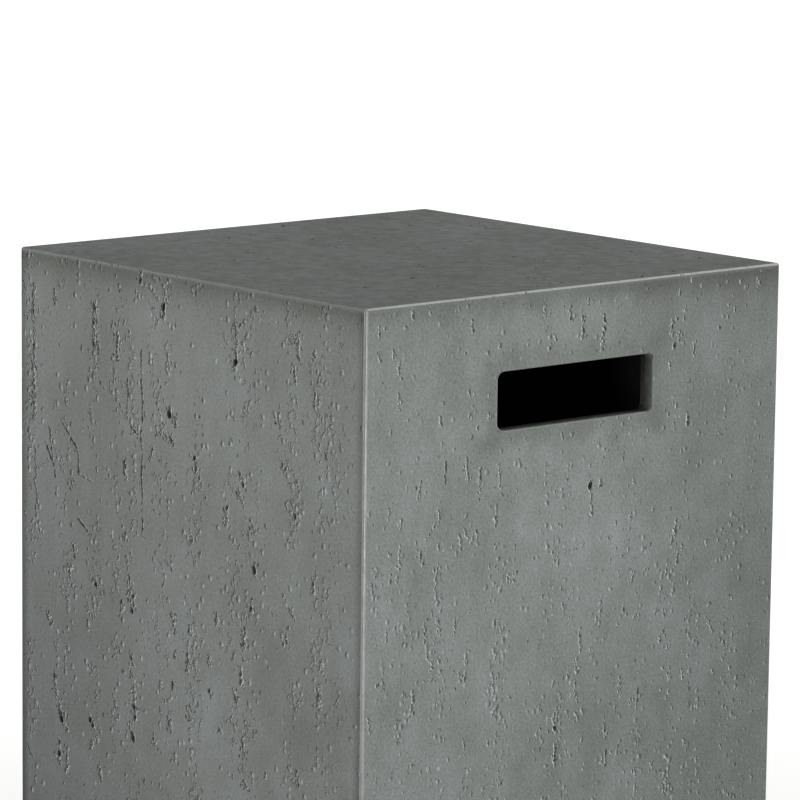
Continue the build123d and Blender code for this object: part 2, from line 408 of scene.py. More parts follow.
# %% The dark inside and the polished edges
def mottled(name, noises, stops, rough, bump, sockets):
    """A finish whose colour follows its first noise, and its bump its last. Noises have sizes in mm."""
    material, tree, shader, spot = start_material(name)
    made = [add(tree, "TexNoise", {
        "Vector": spot, "Scale": per_metre(size), "Detail": detail, "Roughness": roughness})
        for size, detail, roughness in noises]
    colour = add(tree, "ValToRGB", {"Fac": made[0]}, stops=stops)
    if isinstance(rough, tuple):
        rough = add(tree, "MapRange", {"Value": made[0], **dict(zip(
            ("From Min", "From Max", "To Min", "To Max"), rough))})
    strength, distance = bump
    relief = add(tree, "Bump", {"Strength": strength, "Distance": distance * MM, "Height": made[-1]})
    plug(shader, {"Base Color": colour, "Roughness": rough, "Normal": relief, **sockets})
    return material


# Painted shade: the inside of the casting is nearly black.
dark_inside = mottled("fibre_concrete_painted_shade", [(9, 6.0, 0.65)], ((0.3, "#0c0c0b"), (0.7, "#1b1b1a")),
              0.85, (0.8, 1), {"Specular IOR Level": 0.1})
# Paler edges: partly wear, partly a painted highlight.
wear_and_highlight_edge, rub_and_highlight_edge = [
    mottled(name, [(7, 5.0, 0.7)], ((0.34, dark), (0.6, pale)), (0.3, 0.6, 0.42, 0.26), (0.4, 0.4),
            {"Specular IOR Level": specular, "Coat Weight": coat, "Coat Roughness": 0.22})
    for name, dark, pale, specular, coat in (
        ("polished_edge_painted_highlight", "#8f9390", "#aeb2af", 0.7, 0.85),
        ("rubbed_edge_painted_highlight", "#757875", "#898c8a", 0.1, 0.0))]
print("made", dark_inside.name, wear_and_highlight_edge.name, "and", rub_and_highlight_edge.name)

# %% [markdown]
# ## Helpers for modelling
#
# Each piece starts as a primitive at its size and place. Edges and faces are then picked in edit
# mode by where they are or how they lie, and worked with the same tools as by hand. Cuts are made
# with a Boolean, whose cut faces take the tool's material.

# %% Helpers for modelling: primitives
def begin(name, material):
    """Name the new primitive, put its place into its mesh, and go into edit mode."""
    piece = bpy.context.object
    piece.name = name
    bpy.ops.object.transform_apply(location=True, rotation=True, scale=True)
    piece.data.materials.append(material)
    bpy.ops.object.mode_set(mode="EDIT")
    return piece


def block(name, low, high, material):
    """A cube between two corners in millimetres."""
    low, high = Vector(low) * MM, Vector(high) * MM
    bpy.ops.object.select_all(action="DESELECT")
    bpy.ops.mesh.primitive_cube_add(size=1, location=(low + high) / 2, scale=high - low)
    return begin(name, material)


def bar(name, sides, radius, low, high, material, away=0):
    """An upright bar in millimetres, as far away from the middle to the right as to the rear."""
    bpy.ops.object.select_all(action="DESELECT")
    bpy.ops.mesh.primitive_cylinder_add(
        vertices=sides, radius=radius * MM, depth=(high - low) * MM, rotation=(0, 0, math.pi / 6),
        location=(away * MM, away * MM, (low + high) / 2 * MM))
    return begin(name, material)


print("ready: block and bar")


# %% Helpers for modelling: tools
def pick(piece, kind, test):
    """Select only the edges or faces that pass a test on their middle and on how they lie."""
    bpy.ops.mesh.select_mode(type="FACE" if kind == "faces" else "EDGE")
    bpy.ops.mesh.select_all(action="DESELECT")
    mesh = bmesh.from_edit_mesh(piece.data)
    for part in getattr(mesh, kind):
        middle = sum((v.co for v in part.verts), Vector()) / len(part.verts)
        lie = part.normal if kind == "faces" else (part.verts[1].co - part.verts[0].co).normalized()
        part.select_set(bool(test(middle / MM, lie)))
    bmesh.update_edit_mesh(piece.data)


def bevel(size, segments):
    """Bevel the picked edges by a size in millimetres."""
    bpy.ops.mesh.bevel(offset=size * MM, segments=segments, affect="EDGES")


def carve(piece, tool, operation="DIFFERENCE"):
    """Cut or add a tool, and throw it away."""
    if bpy.context.mode == "EDIT_MESH":
        bpy.ops.object.mode_set(mode="OBJECT")
    step = piece.modifiers.new("carve", "BOOLEAN")
    step.operation = operation
    step.solver = "MANIFOLD"
    step.material_mode = "TRANSFER"
    step.object = tool
    bpy.context.view_layer.objects.active = piece
    bpy.ops.object.modifier_apply(modifier=step.name)
    bpy.data.objects.remove(tool)


def mirror(piece, across_x, across_y):
    """Repeat a piece on the other side of the table."""
    bpy.ops.object.mode_set(mode="OBJECT")
    step = piece.modifiers.new("mirror", "MIRROR")
    step.use_axis = (across_x, across_y, False)
    step.use_mirror_merge = False
    bpy.ops.object.modifier_apply(modifier=step.name)


def select_only(piece):
    """Make a piece the only one that operators act on."""
    bpy.ops.object.select_all(action="DESELECT")
    piece.select_set(True)
    bpy.context.view_layer.objects.active = piece


def count_triangles(piece):
    return sum(len(face.vertices) - 2 for face in piece.data.polygons)


print("ready: pick, bevel, carve, mirror and select_only")

# %% [markdown]
# ## The casting: block and hollow
#
# The casting is a box with softly rounded edges, hollow and open below, 12 mm thick in the walls and
# 15 mm in the top. A solid block with its edges bevelled, less a smaller bevelled core, is how the
# mould makes it too. A Solidify modifier would give the inside the same small radius as the outside.

# %% The casting: block and hollow
RIM, TOP = 16, 520
INSIDE, TOP_THICK = HALF - 12, 15
EDGE_ROUND, RIM_CHAMFER, CORE_ROUND = 2, 1.5, 16
# Tools start this far below the floor or the rim, so that they cut clean through.
UNDER = -10


def on_top_edge(lie):
    return 0.3 < lie.z < 0.9


shell = block("cast_shell_voids", (-HALF, -HALF, RIM), (HALF, HALF, TOP), skin)
pick(shell, "edges", lambda middle, lie: middle.z < RIM + 1)
bevel(RIM_CHAMFER, 1)
pick(shell, "edges", lambda middle, lie: middle.z > RIM + 10)
bevel(EDGE_ROUND, 5)
bpy.ops.object.mode_set(mode="OBJECT")
bpy.ops.object.mode_set(mode="EDIT")
for slot_number, material, rule in (
        (1, rub_and_highlight_edge, lambda middle, lie: on_top_edge(lie) and abs(lie.y) > 0.3),
        (2, wear_and_highlight_edge, lambda middle, lie: lie.x * lie.y < -0.01 or (
            on_top_edge(lie) and abs(lie.x) > 0.3 and abs(lie.y) < 0.05))):
    shell.data.materials.append(material)
    pick(shell, "faces", rule)
    shell.active_material_index = slot_number
    bpy.ops.object.material_slot_assign()
bpy.ops.object.mode_set(mode="OBJECT")
core = block("core", (-INSIDE, -INSIDE, UNDER), (INSIDE, INSIDE, TOP - TOP_THICK), dark_inside)
pick(core, "edges", lambda middle, lie: middle.z > 0)
bevel(CORE_ROUND, 8)
carve(shell, core)
print("hollow box:", len(shell.data.polygons), "faces")

# %% [markdown]
# ## The casting: hand slots and hose arch
#
# Each slot has round corners and a rounded lip on both faces of the wall. The cutting tool is given
# the lip's shape instead: its ends open like a trumpet, by extruding and widening in small steps,
# so that the cut leaves a clean quarter round.

# %% The casting: tool with lips
LIP_STEPS = 5
PAST_WALL = 3


def flare(tool, outward, size, lips, centre):
    """Open the end that faces outward by a lip's quarter round, and carry it on past the wall."""
    outward = Vector(outward)
    pick(tool, "faces", lambda middle, lie: lie.dot(outward) > 0.99)
    along, wide = 0.0, 0.0
    for step in range(1, LIP_STEPS + 1):
        angle = math.pi / 2 * step / LIP_STEPS
        reach, spread = LIP * math.sin(angle), LIP * (1 - math.cos(angle))
        bpy.ops.mesh.extrude_region_move(
            TRANSFORM_OT_translate={"value": outward * (reach - along) * MM})
        grow = [(s + n * spread) / (s + n * wide) for s, n in zip(size, lips)]
        bpy.ops.transform.resize(value=grow, center_override=Vector(centre) * MM)
        along, wide = reach, spread
    bpy.ops.mesh.extrude_region_move(TRANSFORM_OT_translate={"value": outward * PAST_WALL * MM})


print("lip of", LIP, "mm in", LIP_STEPS, "steps")

# %% The casting: hand slots and hose arch
SLOT_ROUND = 6
ARCH_WIDE, ARCH_TOP = 44, 70
# Between its lips, a tool lies in the middle of the wall.
inner, outer = INSIDE + LIP, HALF - LIP
slots = block("slots", (inner, SLOT_Y - SLOT_LONG / 2, SLOT_Z - SLOT_HIGH / 2),
              (outer, SLOT_Y + SLOT_LONG / 2, SLOT_Z + SLOT_HIGH / 2), throat)
pick(slots, "edges", lambda middle, lie: abs(lie.x) > 0.9)
bevel(SLOT_ROUND, 8)
for side in (1, -1):
    flare(slots, (side, 0, 0), (1, SLOT_LONG, SLOT_HIGH), (0, 2, 2), (0, SLOT_Y, SLOT_Z))
mirror(slots, True, False)
carve(shell, slots)

arch = block("arch", (-ARCH_WIDE / 2, inner, UNDER), (ARCH_WIDE / 2, outer, ARCH_TOP), throat)
pick(arch, "edges", lambda middle, lie: abs(lie.y) > 0.9 and middle.z > ARCH_TOP - 10)
# Slightly less than the half width, so that the two bevels don't meet.
bevel(ARCH_WIDE / 2 - 0.1, 12)
for side in (1, -1):
    flare(arch, (0, side, 0), (ARCH_WIDE, 1, ARCH_TOP - UNDER), (2, 0, 1), (0, 0, UNDER))
carve(shell, arch)
print("slots and arch cut:", len(shell.data.polygons), "faces")

# %% [markdown]
# ## The casting: corner gussets
#
# A gusset in each corner holds the threaded insert of a foot. It is a block with its inner corner
# sliced off and its upper edge sloped, so that the mould lets go. Modelled once, it is mirrored to
# the other three corners, and a pocket for the insert's hexagon and flange is cut in each.

# %% The casting: corner gussets
FOOT = 166
GUSSET_FROM, GUSSET_TO = 100, HALF - 6
GUSSET_HIGH, GUSSET_COVER, GUSSET_SLOPE = 40, 18.5, 14
HEX_FLAT = 7
HEX_CORNER = HEX_FLAT / math.cos(math.pi / 6)
INSERT_LONG, FLANGE_R, FLANGE_THICK = 28, 11, 2.5
gussets = block("gussets", (GUSSET_FROM, GUSSET_FROM, RIM), (GUSSET_TO, GUSSET_TO, RIM + GUSSET_HIGH), dark_inside)
bpy.ops.mesh.select_all(action="SELECT")
face_at = (2 * FOOT - math.sqrt(2) * GUSSET_COVER) / 2 * MM
bpy.ops.mesh.bisect(plane_co=(face_at, face_at, 0), plane_no=(1, 1, 0), use_fill=True, clear_inner=True)
pick(gussets, "edges",
     lambda middle, lie: middle.z > RIM + GUSSET_HIGH - 1 and abs(lie.x + lie.y) < 0.01)
bevel(GUSSET_SLOPE, 1)
mirror(gussets, True, True)
carve(shell, gussets, "UNION")
for sides, radius, height in ((6, HEX_CORNER, INSERT_LONG), (64, FLANGE_R, FLANGE_THICK)):
    pocket = bar("pocket", sides, radius, RIM + UNDER, RIM + height, dark_inside, FOOT)
    mirror(pocket, True, True)
    carve(shell, pocket)
print("gussets added:", len(shell.data.polygons), "faces")

# %% [markdown]
# ## Air voids: the stones that carve them
#
# In the mould, air rises along the walls and leaves voids: ragged patches of small dents, and long
# narrow cracks. They are carved by stones, as a thumb presses clay: small lumpy balls that sink only a
# little into the wall, so that the dent's slopes catch the light, and some that sink deep. A few are
# modelled by hand from an icosphere with its points shaken, and then repeated at many sizes. They have
# few faces, because there are thousands of them.

# %% Air voids: stones
KINDS = 6


def stone(detail, radius, seed):
    """The corners and faces of a lumpy ball, about one unit across."""
    bpy.ops.object.select_all(action="DESELECT")
    bpy.ops.mesh.primitive_ico_sphere_add(subdivisions=detail, radius=radius)
    ball = begin("stone", pit)
    bpy.ops.mesh.select_all(action="SELECT")
    bpy.ops.transform.vertex_random(offset=0.07, seed=seed)
    bpy.ops.object.mode_set(mode="OBJECT")
    corners = np.array([v.co for v in ball.data.vertices])
    faces = [tuple(f.vertices) for f in ball.data.polygons]
    bpy.data.objects.remove(ball)
    return corners, faces


pebbles = [stone(2, 0.5, seed) for seed in range(KINDS)]
# The faces of a coarse ball lie well inside it, so it is made larger.
crumbs = [stone(1, 0.58, seed) for seed in range(KINDS)]
print(len(pebbles), "pebbles of", len(pebbles[0][1]), "faces and",
      len(crumbs), "crumbs of", len(crumbs[0][1]))

# %% [markdown]
# ## Air voids: where they lie
#
# The main voids of the two walls in the photo were measured there: where each starts and ends, along
# the wall and down from the top, and how wide it is, all in millimetres. Between them, small ones are
# scattered in upright columns, from a seeded source, so that each run gives the same table. The walls
# that the photo doesn't show have only scattered ones, in the columns of the walls opposite.

# %% Air voids: measured on the front and right walls
front_voids = [
    (-183, 27, -183, 76, 1.9), (-183, 78, -183, 129, 2.6), (-182, 149, -180, 200, 1.9),
    (-156, 29, -156, 39, 1.9), (-108, 30, -108, 63, 2.8), (-80, 48, -80, 70, 4.0), (-68, 82, -68, 113, 2.1),
    (-51, 60, -50, 111, 2.1), (-51, 120, -50, 200, 2.1), (-52, 2, -52, 11, 3.7), (-25, 8, -25, 34, 3.5),
    (-19, 97, -18, 104, 5.1), (58, 27, 59, 45, 3.0), (59, 46, 59, 61, 4.0), (127, 25, 127, 43, 3.5),
    (124, 48, 124, 62, 3.5), (146, 35, 146, 41, 2.8), (146, 65, 146, 76, 2.8), (106, 89, 109, 94, 2.8),
    (-164, 132, -157, 170, 2.1), (-168, 144, -159, 160, 1.9), (-148, 125, -129, 143, 2.1),
    (-129, 143, -126, 162, 2.1), (-126, 162, -111, 165, 2.1), (-136, 167, -134, 174, 2.6),
    (-72, 144, -71, 155, 3.5), (-37, 130, -41, 139, 2.6), (-23, 110, -26, 116, 3.5),
    (-12, 103, -10, 110, 3.0), (-18, 118, -13, 123, 2.6), (-65, 117, -55, 122, 2.8),
    (-34, 116, -31, 120, 2.8), (12, 129, 14, 145, 2.8), (-133, 215, -132, 226, 2.3),
    (-106, 236, -106, 243, 3.0), (-126, 196, -112, 206, 2.1), (-65, 229, -62, 256, 3.7),
    (63, 132, 69, 143, 4.2), (62, 145, 67, 155, 2.6), (49, 160, 48, 176, 3.0), (75, 165, 81, 173, 2.8),
    (111, 120, 112, 125, 2.8), (118, 122, 120, 125, 3.0), (158, 104, 159, 110, 2.6),
    (125, 153, 125, 157, 2.6), (82, 198, 82, 204, 5.8), (77, 223, 77, 232, 3.0), (146, 199, 146, 207, 4.2),
    (122, 220, 123, 227, 3.0), (38, 240, 37, 249, 3.5), (-166, 272, -162, 283, 3.0),
    (-117, 261, -108, 268, 2.1), (-116, 270, -116, 275, 2.8), (-75, 249, -75, 258, 2.6),
    (-14, 246, -11, 262, 3.5), (6, 254, 7, 260, 2.6), (-63, 287, -63, 291, 2.6), (-63, 299, -62, 306, 2.6),
    (-60, 309, -58, 336, 3.0), (-65, 341, -60, 352, 4.2), (-158, 319, -154, 338, 3.5),
    (-153, 340, -149, 349, 2.8), (-148, 350, -141, 360, 4.2), (-113, 344, -110, 351, 5.1),
    (-111, 359, -111, 369, 2.8), (-152, 369, -152, 384, 3.7), (-192, 380, -184, 389, 1.9),
    (-11, 276, -11, 282, 2.6), (4, 275, 4, 289, 2.3), (-13, 299, -12, 307, 3.3), (6, 312, 7, 325, 2.8),
    (70, 244, 69, 261, 3.3), (57, 264, 57, 268, 2.8), (66, 277, 66, 288, 5.4), (59, 292, 60, 301, 2.6),
    (114, 238, 115, 245, 4.0), (114, 246, 115, 252, 4.9), (119, 235, 119, 238, 2.8), (30, 270, 31, 279, 2.6),
    (31, 297, 32, 302, 2.6), (42, 322, 44, 326, 3.5), (68, 326, 69, 341, 2.8), (94, 345, 94, 351, 3.5),
    (129, 336, 131, 349, 3.3), (153, 255, 154, 261, 2.6), (152, 273, 153, 290, 2.3), (72, 357, 73, 362, 3.0),
    (-142, 378, -142, 392, 3.0), (-101, 378, -101, 390, 2.8),
]
right_voids = [
    (-158, 5, -157, 10, 3.5), (-142, 6, -141, 10, 3.3), (-116, 6, -115, 9, 3.1), (-103, 15, -103, 23, 2.7),
    (-175, 30, -174, 37, 4.3), (-170, 39, -170, 48, 1.5), (-170, 62, -170, 73, 1.4),
    (-188, 15, -187, 21, 2.3), (-188, 32, -187, 38, 2.5), (-77, 35, -76, 39, 2.5), (-35, 12, -34, 21, 1.9),
    (-26, 33, -23, 39, 1.7), (-28, 39, -30, 44, 1.7), (-10, 13, -10, 24, 3.3), (-104, 65, -104, 70, 3.1),
    (-103, 81, -106, 85, 2.1), (-96, 92, -96, 94, 2.9), (-129, 71, -129, 74, 2.9), (-132, 81, -131, 88, 2.9),
    (-177, 87, -177, 90, 2.9), (-86, 83, -86, 89, 2.1), (-106, 112, -105, 131, 2.7), (7, 9, 7, 16, 1.9),
    (2, 22, 2, 39, 2.7), (24, 26, 24, 36, 2.3), (22, 37, 22, 49, 1.7), (97, 10, 98, 15, 2.9),
    (104, 23, 104, 28, 2.3), (90, 32, 91, 46, 2.5), (94, 49, 94, 55, 4.8), (90, 64, 89, 70, 2.7),
    (145, 8, 146, 10, 2.5), (178, 8, 178, 17, 3.1), (154, 28, 154, 32, 2.7), (138, 42, 138, 44, 3.1),
    (88, 100, 89, 104, 3.3), (97, 95, 98, 98, 3.5), (108, 105, 109, 112, 4.8), (140, 120, 141, 122, 2.5),
    (-149, 126, -151, 138, 2.9), (-126, 115, -126, 130, 2.1), (-94, 121, -94, 142, 2.3),
    (-76, 120, -75, 138, 2.7), (-78, 151, -78, 166, 2.5), (-59, 140, -59, 145, 2.3),
    (-166, 150, -167, 157, 2.1), (-132, 148, -131, 154, 2.7), (-140, 163, -144, 169, 1.9),
    (-108, 163, -106, 167, 2.5), (-112, 167, -110, 180, 2.5), (-105, 168, -104, 173, 2.1),
    (-95, 166, -95, 177, 2.7), (-149, 174, -148, 181, 2.5), (-148, 182, -145, 188, 1.9),
    (-177, 172, -176, 175, 2.9), (-171, 188, -170, 195, 2.5), (-176, 192, -176, 194, 3.3),
    (-131, 185, -133, 193, 2.1), (-134, 193, -134, 210, 2.7), (-77, 179, -78, 182, 3.3),
    (-60, 181, -60, 186, 2.7), (-67, 202, -66, 206, 3.1), (-65, 203, -57, 203, 1.7),
    (-65, 206, -58, 209, 1.7), (-18, 196, -18, 201, 2.7), (-137, 218, -138, 223, 2.7),
    (-144, 227, -142, 238, 2.9), (-142, 239, -142, 251, 3.1), (-132, 224, -130, 234, 2.3),
    (-116, 226, -115, 238, 2.9), (-179, 226, -178, 235, 2.3), (-78, 232, -78, 240, 2.9),
    (-78, 256, -77, 262, 3.1), (-105, 250, -105, 262, 2.3), (12, 142, 12, 150, 3.5), (13, 152, 14, 168, 2.3),
    (22, 140, 22, 148, 2.3), (55, 145, 56, 150, 2.5), (4, 123, 5, 126, 2.7), (98, 180, 98, 192, 3.9),
    (95, 190, 94, 198, 2.3), (101, 203, 100, 214, 2.9), (129, 200, 130, 204, 2.7), (70, 194, 68, 198, 2.3),
    (58, 214, 55, 221, 2.1), (70, 213, 67, 215, 2.1), (86, 218, 85, 224, 2.5), (85, 226, 85, 232, 2.7),
    (106, 224, 107, 227, 2.7), (47, 237, 47, 243, 2.5), (64, 247, 57, 249, 1.5), (83, 246, 78, 248, 1.9),
    (84, 263, 84, 271, 3.1), (95, 274, 92, 277, 2.3), (4, 249, 5, 267, 2.3), (133, 248, 133, 251, 2.7),
    (134, 260, 136, 268, 2.1), (-154, 273, -154, 282, 3.7), (-154, 283, -155, 290, 2.9),
    (-142, 251, -135, 258, 2.1), (-135, 259, -136, 269, 2.5), (-129, 255, -130, 257, 3.5),
    (-105, 265, -106, 274, 2.3), (-79, 272, -78, 284, 2.9), (-76, 297, -79, 302, 2.5),
    (-106, 316, -105, 324, 2.7), (-19, 308, -19, 322, 3.5), (-18, 331, -18, 348, 3.3),
    (-35, 318, -36, 322, 2.5), (-153, 325, -154, 329, 3.1), (-195, 287, -194, 292, 2.5),
    (-115, 277, -115, 279, 3.1), (-64, 288, -64, 291, 2.7), (-82, 339, -82, 341, 2.3),
    (-72, 343, -71, 354, 1.9), (2, 270, 2, 284, 2.7), (0, 289, 3, 303, 2.5), (7, 308, 8, 313, 4.3),
    (2, 311, 4, 316, 3.3), (8, 331, 8, 334, 3.3), (45, 295, 44, 297, 2.7), (45, 300, 45, 302, 2.7),
    (57, 308, 56, 312, 2.3), (42, 312, 39, 314, 2.5), (63, 303, 64, 318, 1.9), (62, 334, 62, 336, 3.5),
    (64, 341, 63, 344, 2.9), (93, 356, 94, 360, 3.7), (78, 359, 80, 366, 2.5), (112, 347, 111, 352, 2.7),
    (124, 355, 124, 359, 3.1), (124, 363, 124, 367, 2.9), (125, 370, 125, 377, 2.1),
    (128, 380, 128, 383, 3.1), (148, 356, 149, 359, 2.9), (62, 362, 61, 368, 2.5), (62, 373, 62, 383, 2.5),
    (94, 374, 94, 383, 2.3), (33, 345, 32, 357, 1.9), (9, 353, 10, 355, 2.5), (95, 292, 96, 300, 2.3),
    (87, 290, 88, 291, 3.3), (138, 297, 139, 300, 2.5),
]
print(len(front_voids), "voids measured on the front wall and", len(right_voids), "on the right")

# %% Air voids: faces to carve
DOWN = Vector((0, 0, -1))
# Each face: its origin at the top, the way along it, the way down it and the way out of it.
faces = {
    "front": ((0, -HALF, TOP), Vector((1, 0, 0)), DOWN, Vector((0, -1, 0))),
    "right": ((HALF, 0, TOP), Vector((0, 1, 0)), DOWN, Vector((1, 0, 0))),
    "rear": ((0, HALF, TOP), Vector((-1, 0, 0)), DOWN, Vector((0, 1, 0))),
    "left": ((-HALF, 0, TOP), Vector((0, -1, 0)), DOWN, Vector((-1, 0, 0))),
    "top": ((0, 0, TOP), Vector((1, 0, 0)), Vector((0, -1, 0)), Vector((0, 0, 1))),
}
# Where no void is scattered: half its width, and from where to where below the top.
openings = {"left": (84, 48, 105), "right": (84, 48, 105), "rear": (28, 440, TOP)}
SIDE_LIMIT, HIGHEST, LOWEST = 194, 5, 498


def free(face, along, drop):
    """Whether a place is on a wall, clear of its edges and openings."""
    half, above, under = openings.get(face, (0, 0, 0))
    if abs(along) < half and above < drop < under:
        return False
    return abs(along) < SIDE_LIMIT and HIGHEST < drop < LOWEST


print("faces:", ", ".join(faces))

# %% Air voids: patches and cracks
# The voids of the front and rear walls are deeper and more crumbly than those of the two others.
deep_share = {"front": 0.2, "right": 0.05, "rear": 0.3, "left": 0.05}
crumbs_each = {"front": 4, "right": 1, "rear": 4, "left": 1}
CRACK_WIDTH, CRACK_LENGTH, CRACK_STEP = 2.2, 12, 2
DENT_STEP = 0.9
rng = random.Random(11)
stones = []


def set_stone(face, along, drop, wide, tall, lean=0.0, sink=0.25):
    """Note one stone: its face and place, the size of its dent, its lean, and how deep it sinks."""
    stones.append((face, along, drop, wide, tall, lean, sink))


def crack(face, start, length, lean, wide):
    """A line of narrow stones that drifts as it goes down, with crumbs beside it."""
    drift = 0.0
    for n in range(round(length / CRACK_STEP)):
        drift = 0.75 * drift + rng.gauss(0, 0.4)
        along = start[0] + CRACK_STEP * n * math.sin(lean) + drift
        drop = start[1] + CRACK_STEP * n * math.cos(lean)
        size = wide * rng.uniform(0.5, 1.0)
        if rng.random() < 0.85:
            set_stone(face, along, drop, size, size * rng.uniform(1.6, 2.4),
                      rng.gauss(-lean, 0.15), rng.uniform(0.3, 0.6))
        if rng.random() < 0.35:
            set_stone(face, along + rng.gauss(0, 1.5 * wide), drop, 1.6, 1.6 * rng.uniform(0.8, 1.6))


def void(face, start, end, wide):
    """A void along a line: a crack if it is long and narrow, and otherwise a ragged patch."""
    run = Vector((end[0] - start[0], end[1] - start[1]))
    lean = math.atan2(run.x, run.y)
    if wide < CRACK_WIDTH and run.length > CRACK_LENGTH:
        crack(face, start, run.length, lean, wide)
        return
    dents = max(1, round(run.length / wide / DENT_STEP))
    for n in range(dents):
        share = (n + 0.5) / dents
        along, drop = start[0] + run.x * share, start[1] + run.y * share
        size = wide * rng.uniform(0.6, 1.0)
        deep = rng.random() < deep_share[face]
        set_stone(face, along + rng.gauss(0, 0.2 * wide), drop, size, size * rng.uniform(1.1, 1.8),
                  rng.gauss(-lean, 0.3), rng.uniform(0.42, 0.62) if deep else rng.uniform(0.2, 0.36))
        for _ in range(crumbs_each[face]):
            size = rng.uniform(1.2, 2.2)
            set_stone(face, along + rng.gauss(0, 0.7 * wide), drop + rng.gauss(0, 0.7 * wide), size,
                      size * rng.uniform(0.9, 1.7), rng.gauss(0, 0.5), rng.uniform(0.2, 0.45))


for face, rows in (("front", front_voids), ("right", right_voids)):
    for row in rows:
        void(face, row[:2], row[2:4], row[4])
print(len(stones), "stones in measured voids")

# %% Air voids: scattered ones
VOIDS_SHOWN, VOIDS_HIDDEN, SPECKS, CHIPS, TOP_PITS = 14, 95, 270, 5, 130
column_places = {
    "front": front_columns,
    "right": right_columns,
    "rear": [-place for place in front_columns],
    "left": [-place for place in right_columns],
}
for face, places in column_places.items():
    for _ in range(VOIDS_HIDDEN if face in ("rear", "left") else VOIDS_SHOWN):
        along, drop = rng.choice(places) + rng.gauss(0, 6), rng.uniform(HIGHEST, LOWEST)
        long = rng.expovariate(1 / 9)
        if free(face, along, drop) and free(face, along, drop + long):
            end = along + rng.gauss(0, 0.05 * long), drop + long
            void(face, (along, drop), end, rng.uniform(1.8, 3.6))
    for _ in range(SPECKS):
        along, drop = rng.choice(places) + rng.gauss(0, 7), rng.uniform(HIGHEST, LOWEST)
        if free(face, along, drop):
            wide = rng.choice((1.3, 1.6, 2.0, 2.4, 2.8))
            set_stone(face, along, drop, wide, wide * rng.uniform(1, 2.0), rng.gauss(0, 0.25))
    # A few chips along the top edge.
    for _ in range(CHIPS):
        wide = rng.uniform(1.6, 3.0)
        set_stone(face, rng.uniform(-180, 180), 0.8, wide, 0.8 * wide, 0.0, 0.35)
for _ in range(TOP_PITS):
    along, drop = rng.uniform(-192, 192), rng.uniform(-192, 192)
    wide = rng.choice((1.2, 1.6, 2.2, 3.0, 4.0))
    set_stone("top", along, drop, wide, wide * rng.uniform(1, 1.6), rng.uniform(0, math.pi),
              rng.choice((0.25, 0.25, 0.5)))
print(len(stones), "stones in all")

# %% [markdown]
# ## Air voids: carving
#
# Stones that overlap can't be cut in one go, since a Boolean wants a tool that doesn't run into
# itself. So they are sorted into layers without overlaps, and the layers are carved one after the
# other. Displacement could press the voids in too, but needs millions of faces to give them rims.

# %% Air voids: layers
# Half a stone's size with some room round it, as a share of its dent.
ROOM = 0.85


def sort_layers(rows):
    """Put each stone in the first layer where it is clear of the others on its face."""
    layers = []
    for row in rows:
        face, along, drop, wide, tall, lean, sink = row
        sine, cosine = abs(math.sin(lean)), abs(math.cos(lean))
        reach = ROOM * (wide * sine + tall * cosine)
        girth = ROOM * (wide * cosine + tall * sine)
        for layer in layers:
            near = layer.setdefault(face, [])
            if all(abs(along - a) > girth + g or abs(drop - d) > reach + r for a, d, g, r, _ in near):
                break
        else:
            layer = {face: []}
            layers.append(layer)
        layer[face].append((along, drop, girth, reach, row))
    return [[item[4] for items in layer.values() for item in items] for layer in layers]


layers = sort_layers(stones)
print("layers of", [len(layer) for layer in layers], "stones")

# %% Air voids: carving
# A dent is the cap of a ball that is larger by this and stays mostly outside the wall.
BALL = 1.4
PEBBLE_WIDTH = 2.4
# The air rose slantwise, so one slope of a dent is long and the other steep.
slant = {"front": -1.1, "right": 1.1, "rear": -0.3, "left": 0.3, "top": 0.0}


def set_in_wall(points, face, along, drop, wide, tall, lean, sink):
    """The corners of a stone at its size and place, in metres."""
    origin, across, down, out = faces[face]
    fall = points[:, 2] * tall * BALL
    depth = points[:, 1] * BALL * wide + (BALL / 2 - sink) * wide
    side = points[:, 0] * wide * BALL - slant[face] * depth
    turned_side = side * math.cos(lean) - fall * math.sin(lean)
    turned_fall = side * math.sin(lean) + fall * math.cos(lean)
    return MM * (np.array(origin) + np.outer(turned_side + along, across)
                 + np.outer(turned_fall + drop, down) + np.outer(depth, out))


for layer in layers:
    corners, polygons, count = [], [], 0
    for face, along, drop, wide, tall, lean, sink in layer:
        points, triangles = rng.choice(pebbles if wide > PEBBLE_WIDTH else crumbs)
        corners.append(set_in_wall(points, face, along, drop, wide, tall, lean, sink))
        # The frame of a face may be left-handed, and then the faces are wound the other way.
        _, across, down, out = faces[face]
        flip = across.cross(down).dot(out) > 0
        polygons += [tuple(i + count for i in (t[::-1] if flip else t)) for t in triangles]
        count += len(points)
    mesh = bpy.data.meshes.new("stones")
    mesh.from_pydata(np.concatenate(corners).tolist(), [], polygons)
    mesh.materials.append(pit)
    tool = bpy.data.objects.new("stones", mesh)
    bpy.context.collection.objects.link(tool)
    carve(shell, tool)
    print("carved", len(layer), "stones:", len(shell.data.polygons), "faces")

# %% [markdown]
# ## The casting: shading
#
# The rims of the voids stay sharp, and the rounded edges and the slopes of the dents are smooth. So
# edges are smoothed up to an angle, and the normals are weighted by the size of the faces, which keeps
# the large flat walls flat right up to the voids.

# %% The casting: shading
SMOOTH_ANGLE = math.radians(32)
select_only(shell)
bpy.ops.object.shade_smooth_by_angle(angle=SMOOTH_ANGLE)
weights = shell.modifiers.new("weights", "WEIGHTED_NORMAL")
weights.keep_sharp = True
bpy.ops.object.modifier_apply(modifier=weights.name)
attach(shell, "shell")
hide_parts("cast_shell")
print("casting:", count_triangles(shell), "triangles,", [m.name for m in shell.data.materials])

